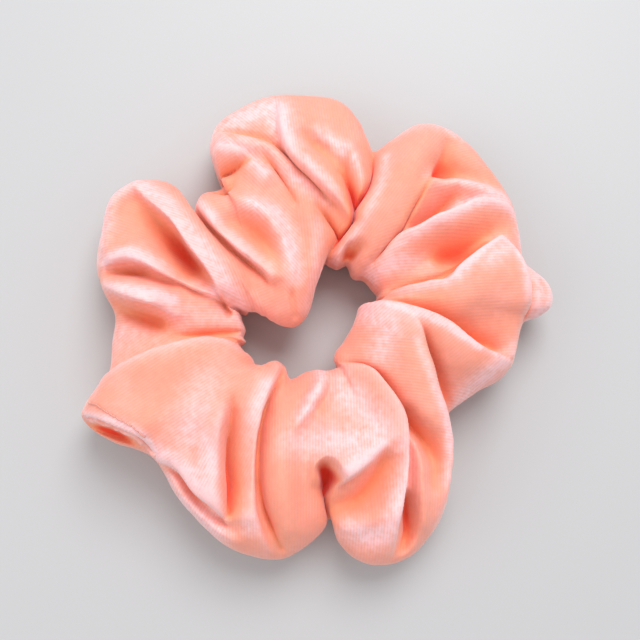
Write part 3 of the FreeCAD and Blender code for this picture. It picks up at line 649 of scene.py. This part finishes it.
def vertices(made):
    points = np.empty(len(made.data.vertices) * 3, np.float32)
    made.data.vertices.foreach_get("co", points)
    return points.reshape(-1, 3) / MM


def add_cover(surface, values, material):
    """The velvet: an outer and an inner face, the turned-in seam allowances and the closing's lip."""
    rows, columns = surface.shape[:2]
    out = normals(surface)
    inner = inner_face(surface, out)
    cross = cross_column(values)
    seam = surface[:, SEAM_ROW] - out[:, SEAM_ROW] * CLOTH * 0.8
    down = unit(surface[:, SEAM_ROW + 1] - surface[:, SEAM_ROW])
    flap, flap_faces = strip(seam[::2], -out[::2, SEAM_ROW], down[::2], ALLOWANCE, CLOTH * 0.9)
    section = surface[cross] - out[cross] * CLOTH * 0.8
    beside = unit(surface[cross + 1] - surface[cross - 1])
    band, band_faces = strip(section, -out[cross], beside, CROSS_ALLOWANCE, CLOTH * 0.9)
    lip, lip_faces, lip_turns = closing_lip(surface, values)
    parts = [(surface.reshape(-1, 3), grid_faces(rows, columns, True)),
             (inner.reshape(-1, 3), grid_faces(*inner.shape[:2], True, flip=True)),
             (flap, flap_faces), (band, band_faces), (lip, lip_faces)]
    points, faces, first = [], [], 0
    for part, quads in parts:
        points.append(part)
        faces.extend([[v + first for v in quad] for quad in quads])
        first += len(part)
    made = mesh_object("velvet_cover", np.vstack(points), faces, material)
    count = rows * columns
    turn = values["turn"]
    turns = np.concatenate([turn.ravel(), turn[::INNER_STEP, ::INNER_STEP].ravel(),
                            np.repeat(turn[::2, 0], len(flap) // len(turn[::2])),
                            np.full(len(band), turn[cross, 0]), lip_turns])
    for name in ("crest", "crease", "brushed"):
        whole = np.zeros(first, np.float32)
        whole[:count] = values[name].ravel()
        # the closing's lip is painted with sheen all along, and with no painted crest highlight or crease shade
        whole[first - len(lip):] = 0.6 if name == "brushed" else 0
        made.data.attributes.new(name, "FLOAT", "POINT").data.foreach_set("value", whole)
    add_cloth_map(made, surface, turn[:, 0])
    with_ring(made, turns)
    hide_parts("velvet_cover_held_half", "velvet_cover_pulled_half")


def lowest_cloth(top):
    """A plan map of the lowest cloth close by, and the plan point of its first cell."""
    plan, margin = top[..., :2].reshape(-1, 2), 8
    low = plan.min(0) - margin * CELL
    height = np.full(((plan.max(0) - low) / CELL).astype(int) + margin + 1, np.inf)
    x, y = ((plan - low) / CELL).astype(int).T
    np.minimum.at(height, (x, y), top[..., 2].ravel())
    found = height.copy()
    for i in range(-CELLS, CELLS + 1):
        for j in range(-CELLS, CELLS + 1):
            if i * i + j * j <= (CELLS + 0.5) ** 2:
                found = np.minimum(found, np.roll(height, (i, j), (0, 1)))
    return found, low


def inner_face(surface, out):
    """The cloth's inner face: coarser, and under the lowest cloth nearby, so that no fold cuts it."""
    step = INNER_STEP
    inner = surface[::step, ::step] - out[::step, ::step] * CLOTH
    ends, outline = (side[::step, None] for side in ring_places())
    turn = np.linspace(0, math.pi, TOP_ROWS)[::step]
    length = np.linalg.norm(outline - ends, axis=2)
    share = (1 - np.cos(turn)) / 2 + CLOTH * np.cos(turn) / length
    plan = ends + (outline - ends) * share[..., None]
    lowest, low = lowest_cloth(surface[:, :TOP_ROWS])
    x, y = ((plan.reshape(-1, 2) - low) / CELL).astype(int).T
    height = lowest[x, y].reshape(share.shape)
    inner[:, :len(turn), :2] = plan
    inner[:, :len(turn), 2] = np.where(np.isfinite(height), height, EDGE) - CLOTH
    inner[..., 2] = np.maximum(inner[..., 2], CLOTH)
    return inner


def cross_column(values):
    """The row round the ring where the tube's two ends meet."""
    gap = values["turn"][:, 0] - math.radians(CROSS_ANGLE)
    return int(np.argmin(np.abs(np.arctan2(np.sin(gap), np.cos(gap)))))


def add_cloth_map(made, surface, turns):
    """UVs in metres: u across the ribs and v along them, turned to each fold's own direction."""
    rows, columns = surface.shape[:2]
    starts, ways = np.array(RIBS).T
    way = np.radians(ways[np.searchsorted(starts, np.degrees(turns) % 360, side="right") - 1])
    layer = made.data.uv_layers.new(name="cloth")
    loops = np.empty(len(made.data.loops), np.int32)
    made.data.loops.foreach_get("vertex_index", loops)
    found = np.zeros((len(loops), 2), np.float32)
    face_loops = rows * columns * 4
    corners = loops[:face_loops]
    way = np.repeat(way[corners[::4] // columns], 4)
    spots = surface.reshape(-1, 3)[corners] * MM
    found[:face_loops, 0] = spots[:, 1] * np.cos(way) - spots[:, 0] * np.sin(way)
    found[:face_loops, 1] = spots[:, 0] * np.cos(way) + spots[:, 1] * np.sin(way)
    layer.data.foreach_set("uv", found.ravel())


def on_cover(surface, line):
    """The cover's top at plan points: the place, the outward normal and the row round the ring."""
    top = surface[:, 8:TOP_ROWS]
    out = normals(surface)[:, 8:TOP_ROWS].reshape(-1, 3)
    spots = top.reshape(-1, 3)
    rows = np.repeat(np.arange(len(surface)), top.shape[1])
    found = []
    for spot in line:
        distance = np.linalg.norm(spots[:, :2] - spot[:2], axis=1)
        near = np.argsort(distance)[:6]
        weight = 1 / (distance[near] + 0.05)
        weight /= weight.sum()
        found.append([*weight @ spots[near], *weight @ out[near], rows[near[0]]])
    return np.array(found)


def closing_lip(surface, values):
    """The pinched, topstitched edge of the closing, with its crinkles."""
    line = smooth_line(LIP, 16)
    found = on_cover(surface, line)
    place, face, column = found[:, :3], found[:, 3:6], found[:, 6].astype(int)
    place, face = relaxed_line(place, 6), unit(relaxed_line(face, 6))
    walk = np.linspace(0, 1, len(line))
    away = unit(unit(np.array(LIP_AWAY)) - face * 0.15)
    thick = unit(np.cross(np.gradient(place, axis=0), away))
    thick *= np.sign((thick * face).sum(1))[:, None]
    crinkle = np.sin(walk * 29) * 0.22 + np.sin(walk * 61 + 1) * 0.15
    ends = np.sqrt(np.clip(np.minimum(walk, 1 - walk) / 0.12, 0, 1))
    depth = LIP_DEPTH * ends * (1 + 0.15 * np.sin(walk * 43 + 2))
    rows = []
    half = CLOTH * 0.4
    for along, up in ((-1.2, -half), (0.5, -half), (1.0, -0.6 * half), (1.12, 0), (1.0, 0.6 * half),
                      (0.5, half), (-1.2, half)):
        reach = along if along < 0 else along * depth
        bend = crinkle * np.clip(along, 0, 1) * ends
        rows.append(place + away * np.reshape(reach, (-1, 1)) + thick * np.reshape(up + bend + 0.1, (-1, 1)))
    points = np.stack(rows, axis=1)
    sides = points.shape[1]
    turns = np.repeat(values["turn"][column, 0], sides)
    return points.reshape(-1, 3), grid_faces(len(line), sides, False), turns


def relaxed_line(line, passes):
    for _ in range(passes):
        line = np.vstack([line[:1], (line[:-2] + 2 * line[1:-1] + line[2:]) / 4, line[-1:]])
    return line


def squared(values, power):
    """A circle's coordinates, pushed out towards a rectangle."""
    return np.copysign(np.abs(values) ** power, values)


def add_elastic(material):
    """The braided band inside the cover, its ends lapped, one outside the other."""
    turns = 240
    lap = math.radians(LAP_DEGREES)
    angle = np.linspace(math.pi - lap / 2, 3 * math.pi + lap / 2, turns)
    radius = ELASTIC_RADIUS + LAP_STEP * np.cos((angle - angle[0]) / (angle[-1] - angle[0]) * math.pi)
    middle, tall = (ELASTIC_LOW + ELASTIC_HIGH) / 2, (ELASTIC_HIGH - ELASTIC_LOW) / 2
    sides = 28
    round_section = np.arange(sides) * 2 * math.pi / sides
    cords = 1 + 0.06 * np.cos(round_section * sides / 2)
    section = list(zip(BAND_HALF * squared(np.cos(round_section), 0.4) * cords,
                       tall * squared(np.sin(round_section), 0.6)))
    points = [((r + out) * math.cos(a), (r + out) * math.sin(a), middle + up)
              for a, r in zip(angle, radius) for out, up in section]
    made = mesh_object("elastic_band", points, grid_faces(turns, len(section), False), material)
    with_ring(made, own_turns(made))
    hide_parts("elastic_held_half", "elastic_pulled_half")


def add_seams(surface, values, thread, elastic_thread):
    """The needle and bobbin threads of the three seams and of the elastic's join."""
    out = normals(surface)
    cross = cross_column(values)
    down = surface[:, SEAM_ROW + 1] - surface[:, SEAM_ROW]
    path = surface[:, SEAM_ROW] - out[:, SEAM_ROW] * (CLOTH + 0.5 * ALLOWANCE)
    groups = {"long_seam": stitched("long_seam", path, down, STITCH, CLOTH, thread, True)}
    inside = surface[cross] - out[cross] * (CLOTH + 0.5 * CROSS_ALLOWANCE)
    beside = surface[cross + 1] - surface[cross - 1]
    groups["cross_seam"] = stitched("cross_seam", inside, beside, STITCH, CLOTH, thread, True)
    found = on_cover(surface, smooth_line(TOPSTITCH, 12))
    groups["closing_seam"] = stitched("closing_seam", relaxed_line(found[:, :3], 4), found[:, 3:6],
                                      TOP_STITCH, 0.2, thread, False)
    lap = math.radians(LAP_DEGREES - 6)
    angle = np.linspace(math.pi - lap / 2, math.pi + lap / 2, 60)
    round_ring = np.column_stack([np.cos(angle), np.sin(angle), 0 * angle])
    middle = (ELASTIC_LOW + ELASTIC_HIGH) / 2
    groups["elastic_join"] = stitched("elastic_join", round_ring * ELASTIC_RADIUS + (0, 0, middle), round_ring,
                                      ZIGZAG_STITCH, 1.05, elastic_thread, False, swing=ZIGZAG_HALF)
    for seam, threads in groups.items():
        for made in threads:
            word = made.name.rsplit("_", 1)[1]
            turns = own_turns(made)
            if seam == "closing_seam":
                turns = nearest_turns(made, found[:, :3], values["turn"][found[:, 6].astype(int), 0])
            if seam == "cross_seam":
                turns[:] = values["turn"][cross, 0]
            with_ring(made, turns)
            halves = ("_held_half", "_pulled_half") if seam == "long_seam" else ("",)
            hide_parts(*(f"{seam}_{word}_thread{half}" for half in halves))


# ---- materials ----

def new_material(name, roughness, colour=(1, 1, 1), **sockets):
    material = bpy.data.materials.new(name)
    material.use_nodes = True
    shader = material.node_tree.nodes["Principled BSDF"]
    shader.inputs["Roughness"].default_value = roughness
    shader.inputs["Base Color"].default_value = (*colour, 1)
    for socket, value in sockets.items():
        shader.inputs[socket.replace("_", " ")].default_value = value
    return material, material.node_tree, shader


def node(tree, kind, links=None, **settings):
    made = tree.nodes.new(kind)
    for name, value in settings.items():
        setattr(made, name, value)
    for socket, source in (links or {}).items():
        if isinstance(source, bpy.types.NodeSocket):
            tree.links.new(source, made.inputs[socket])
        else:
            made.inputs[socket].default_value = source
    return made


def mixed(tree, share, first, second):
    made = node(tree, "ShaderNodeMix", data_type="RGBA")
    for index, value in ((0, share), (6, first), (7, second)):
        if isinstance(value, bpy.types.NodeSocket):
            tree.links.new(value, made.inputs[index])
        else:
            made.inputs[index].default_value = value if index == 0 else (*value, 1)
    return made.outputs[2]


def maths(tree, operation, first, second, clamp):
    return node(tree, "ShaderNodeMath", {0: first, 1: second}, operation=operation, use_clamp=clamp).outputs[0]


def roughened(tree, shader, height, strength, depth):
    bump = node(tree, "ShaderNodeBump", {"Height": height, "Strength": strength, "Distance": depth})
    tree.links.new(bump.outputs["Normal"], shader.inputs["Normal"])


def velvet():
    """Short pile: painted sheen and painted crest highlights, knitted ribs, and painted shade that darkens
    hollows and creases to red.
    """
    material, tree, shader = new_material(
        "velvet", 0.75, Sheen_Weight=0.5, Sheen_Roughness=0.4, Sheen_Tint=(1.0, 0.84, 0.84, 1),
        Specular_IOR_Level=0.25, Subsurface_Weight=0.22, Subsurface_Radius=(1.0, 0.30, 0.22),
        Subsurface_Scale=0.0016)
    place = node(tree, "ShaderNodeTexCoord").outputs["Object"]
    cloth = node(tree, "ShaderNodeUVMap", uv_map="cloth").outputs["UV"]
    parts = {name: node(tree, "ShaderNodeAttribute", attribute_name=name).outputs["Fac"]
             for name in ("crest", "crease", "brushed")}

    def speckle(scale, detail, roughness=0.5):
        sockets = {"Vector": place, "Scale": scale, "Detail": detail, "Roughness": roughness}
        return node(tree, "ShaderNodeTexNoise", sockets).outputs["Fac"]

    def plus(first, second, clamp=False):
        return maths(tree, "ADD", first, second, clamp)

    def times(first, second, clamp=False):
        return maths(tree, "MULTIPLY", first, second, clamp)

    patches, pile, grain = speckle(110.0, 4.0, 0.6), speckle(2600.0, 3.0), speckle(700.0, 2.0)
    bands = node(tree, "ShaderNodeTexWave", {"Vector": cloth, "Scale": math.pi / 10 / RIB_PITCH,
                                            "Distortion": 0.6, "Detail": 2.0, "Detail Scale": 40.0},
                 wave_type="BANDS", bands_direction="X", wave_profile="SIN").outputs["Fac"]
    # Painted highlight: painted sheen (speckled), a painted highlight along crests, and random paler patches of
    # pile.
    light = times(parts["brushed"], plus(times(plus(grain, -0.5), 1.6), 0.95))
    light = plus(light, times(parts["crest"], 0.5))
    light = plus(light, times(plus(patches, -0.44), 0.6))
    ribbed = times(plus(bands, -0.5), plus(times(parts["brushed"], 0.35), 0.13))
    colour = mixed(tree, plus(light, ribbed, clamp=True), FACE_COLOUR, PALE_AND_HIGHLIGHT_COLOUR)
    # Painted shade: hollows and creases shade to orange, then to red at the bottom of a crease.
    colour = mixed(tree, times(parts["crease"], 1.9, clamp=True), colour, HOLLOW_SHADE_COLOUR)
    colour = mixed(tree, plus(times(parts["crease"], 2.0), -0.9, clamp=True), colour, CREASE_SHADE_COLOUR)
    speck = plus(times(grain, 0.16), 0.92)
    colour = node(tree, "ShaderNodeVectorMath", {0: colour, "Scale": speck}, operation="SCALE").outputs[0]
    tree.links.new(colour, shader.inputs["Base Color"])
    height = plus(plus(times(bands, 0.6), times(pile, 0.8)), times(grain, 0.6))
    roughened(tree, shader, height, 0.4, 0.0001)
    return material


def banded(name, dark, light, roughness, sheen, scale, distortion, strength, depth):
    """Fabric with diagonal bands: a braid or a twisted thread."""
    material, tree, shader = new_material(name, roughness, Sheen_Weight=sheen)
    place = node(tree, "ShaderNodeTexCoord").outputs["Object"]
    bands = node(tree, "ShaderNodeTexWave", {"Vector": place, "Scale": scale, "Distortion": distortion},
                 wave_type="BANDS", bands_direction="DIAGONAL").outputs["Fac"]
    tree.links.new(mixed(tree, bands, dark, light), shader.inputs["Base Color"])
    roughened(tree, shader, bands, strength, depth)
    return material


def yarn(name, dark, light):
    return banded(name, dark, light, 0.6, 0.3, 1800.0, 1.0, 0.5, 0.00005)


# ---- stage ----

def add_floor():
    half = FLOOR_HALF / MM
    corners = [(-half, -half, 0), (half, -half, 0), (half, half, 0), (-half, half, 0)]
    mesh_object("floor", corners, [(0, 1, 2, 3)], new_material("floor", 0.5, FLOOR_COLOUR)[0])


def add_light(name, place, size, power):
    """A round soft light at place, in metres, aimed at the scrunchie."""
    data = bpy.data.lights.new(name, "AREA")
    data.shape, data.size, data.energy = "DISK", size, power
    made = bpy.data.objects.new(name, data)
    made.location = place
    made.rotation_euler = (-Vector(place)).to_track_quat("-Z", "Y").to_euler()
    bpy.context.scene.collection.objects.link(made)


def add_stage():
    add_floor()
    add_light("key", (0.12, 0.45, 0.75), 0.55, KEY)
    add_light("fill", (-0.6, -0.2, 0.6), 0.7, FILL)
    world = bpy.data.worlds.new("world")
    world.use_nodes = True
    world.node_tree.nodes["Background"].inputs["Color"].default_value = (0.97, 0.98, 1, 1)
    world.node_tree.nodes["Background"].inputs["Strength"].default_value = SKY
    bpy.context.scene.world = world
    bpy.context.scene.view_settings.view_transform = "Standard"
    data = bpy.data.cameras.new("camera")
    data.lens, data.sensor_width = 56.5, 36
    data.clip_start, data.clip_end = 0.01, 10
    made = bpy.data.objects.new("camera", data)
    forward = Vector((0.0479, 0.1368, -0.9894)).normalized()
    right = forward.cross(Vector((-0.0066, 0.9906, 0.1366))).normalized()
    made.matrix_world = Matrix((right, right.cross(forward), -forward)).transposed().to_4x4()
    made.location = (-0.00792, -0.03297, 0.24514)
    bpy.context.scene.collection.objects.link(made)
    bpy.context.scene.camera = made


surface, values = cover_surface()
add_cover(surface, values, velvet())
add_elastic(banded("braided_elastic", (0.72, 0.70, 0.66), (0.88, 0.87, 0.83),
                   0.7, 0.2, 420.0, 3.0, 0.6, 0.0002))
add_seams(surface, values, yarn("seam_thread", (0.66, 0.22, 0.15), (0.90, 0.45, 0.36)),
          yarn("elastic_thread", (0.78, 0.76, 0.72), (0.93, 0.92, 0.88)))
add_stage()
